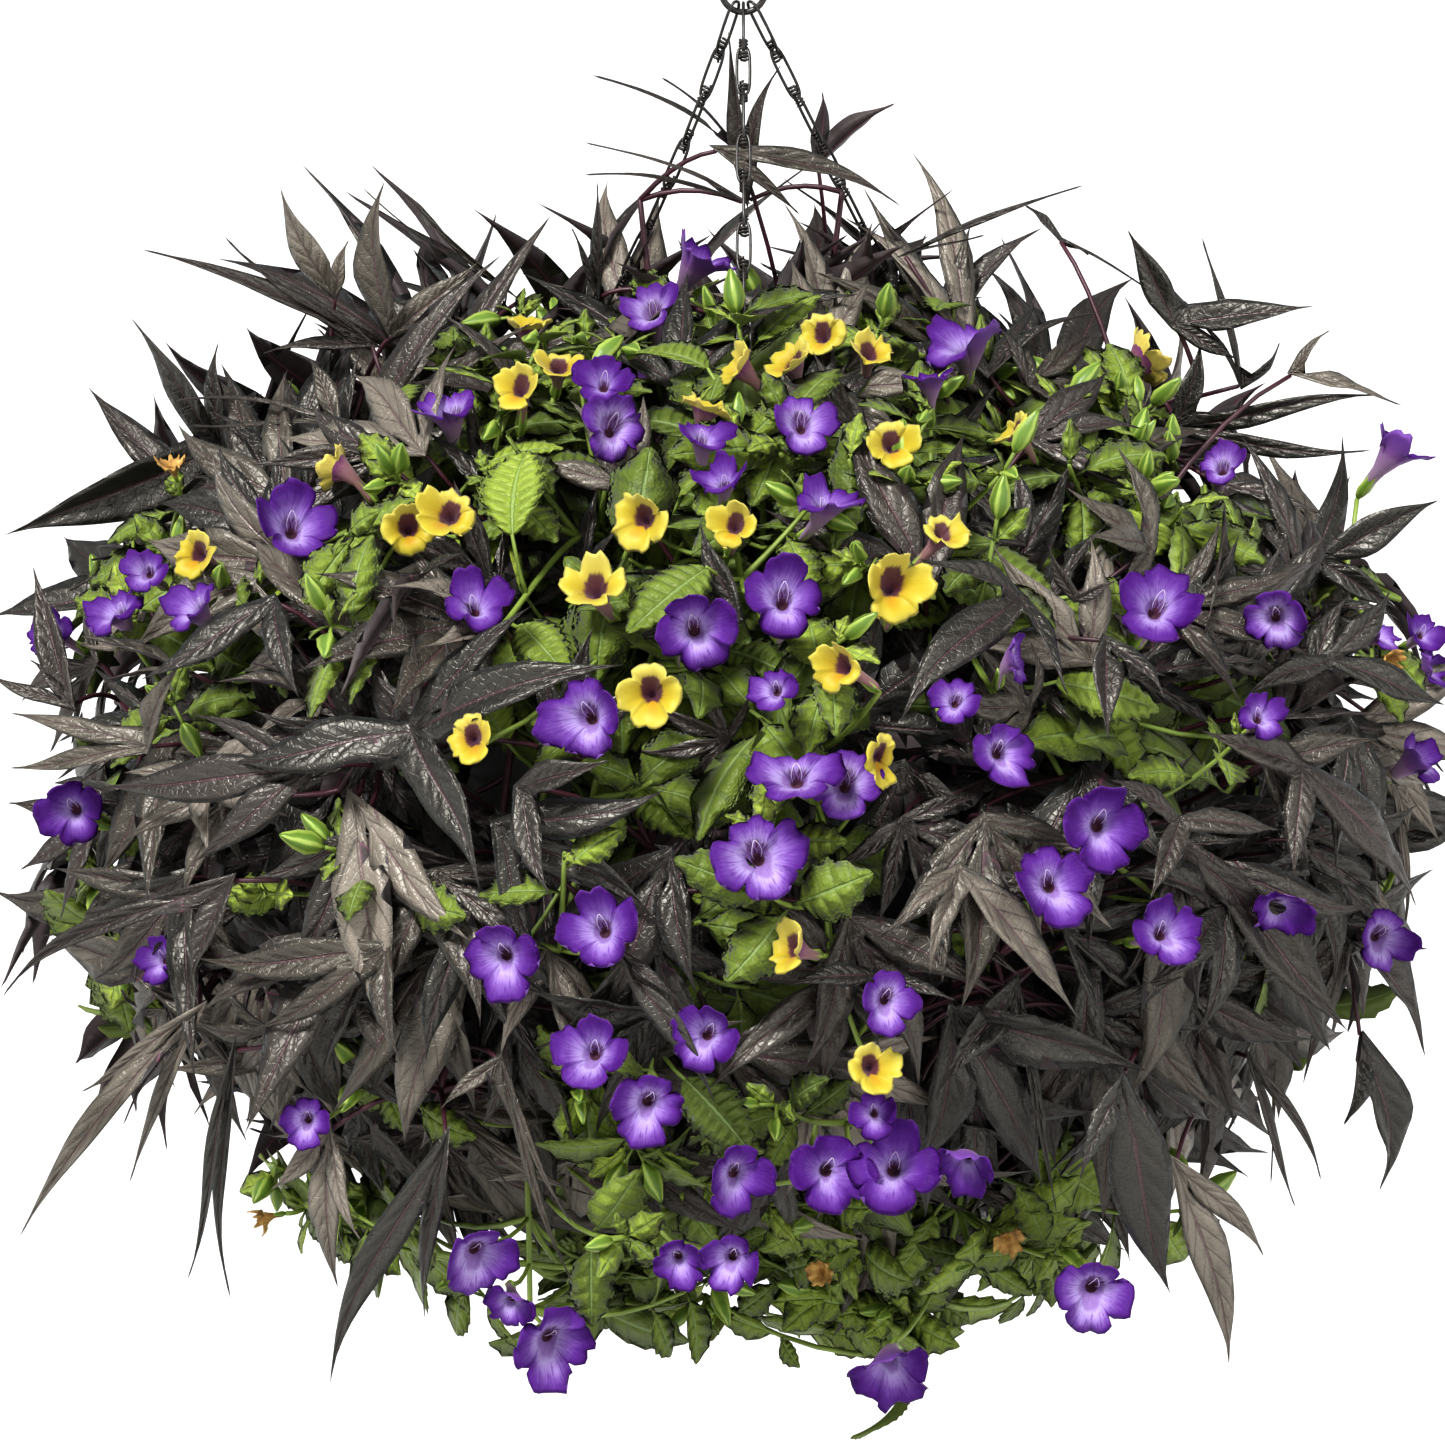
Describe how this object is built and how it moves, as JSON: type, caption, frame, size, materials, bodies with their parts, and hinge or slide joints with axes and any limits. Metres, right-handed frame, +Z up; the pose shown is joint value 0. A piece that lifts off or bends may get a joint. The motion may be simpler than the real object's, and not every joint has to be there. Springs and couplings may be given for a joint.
{
  "type": "mixed hanging basket",
  "caption": "Hanging pot on a wire hook and chains, planted with dark sweet potato vine and with purple and yellow wishbone flowers that trail below it.",
  "frame": {"origin": "inner crown of the hook's upper crook, where the basket hangs", "axes": "+Z up, +X to the right as the picture shows it, -Y towards its viewer"},
  "size_m": [0.6623, 0.6542, 0.6667],
  "materials": {
    "black_wire": "satin black coated wire",
    "pot_plastic": "matte moulded plastic, very dark green",
    "potting_soil": "rough moist potting mix",
    "wishbone_leaf": "soft satin leaf, fresh green",
    "purple_petal": "velvety petal, violet with a pale lip",
    "yellow_petal": "velvety petal, clear yellow",
    "vine_leaf": "satin leaf, near black with purple veins",
    "vine_stalk": "satin stalk, dark purple"
  },
  "bodies": {
    "root": {"hook": "black_wire", "chain_front": "black_wire", "chain_left": "black_wire", "chain_right": "black_wire", "pot": "pot_plastic", "soil": "potting_soil", "purple_spray_01": "purple_petal", "purple_spray_02": "purple_petal", "purple_spray_03": "purple_petal", "purple_spray_04": "purple_petal", "purple_spray_05": "purple_petal", "purple_spray_06": "purple_petal", "purple_spray_07": "purple_petal", "purple_spray_08": "purple_petal", "purple_spray_09": "purple_petal", "purple_spray_10": "purple_petal", "purple_spray_11": "purple_petal", "purple_spray_12": "purple_petal", "purple_spray_13": "purple_petal", "purple_spray_14": "purple_petal", "purple_spray_15": "purple_petal", "purple_spray_16": "purple_petal", "purple_spray_17": "purple_petal", "purple_spray_18": "purple_petal", "purple_spray_19": "purple_petal", "purple_spray_20": "purple_petal", "purple_spray_21": "purple_petal", "purple_spray_22": "purple_petal", "purple_spray_23": "purple_petal", "purple_spray_24": "purple_petal", "yellow_spray_01": "yellow_petal", "yellow_spray_02": "yellow_petal", "yellow_spray_03": "yellow_petal", "yellow_spray_04": "yellow_petal", "yellow_spray_05": "yellow_petal", "yellow_spray_06": "yellow_petal", "yellow_spray_07": "yellow_petal", "yellow_spray_08": "yellow_petal", "yellow_spray_09": "yellow_petal", "yellow_spray_10": "yellow_petal", "yellow_spray_11": "yellow_petal", "vine_spray_01": "vine_leaf", "vine_spray_02": "vine_leaf", "vine_spray_03": "vine_leaf", "vine_spray_04": "vine_leaf", "vine_spray_05": "vine_leaf", "vine_spray_06": "vine_leaf", "vine_spray_07": "vine_leaf", "vine_spray_08": "vine_leaf", "vine_spray_09": "vine_leaf", "vine_spray_10": "vine_leaf", "vine_spray_11": "vine_leaf", "vine_spray_12": "vine_leaf", "vine_spray_13": "vine_leaf", "vine_spray_14": "vine_leaf", "vine_spray_15": "vine_leaf", "vine_spray_16": "vine_leaf", "vine_spray_17": "vine_leaf", "vine_spray_18": "vine_leaf", "vine_spray_19": "vine_leaf"}
  },
  "joints": []
}
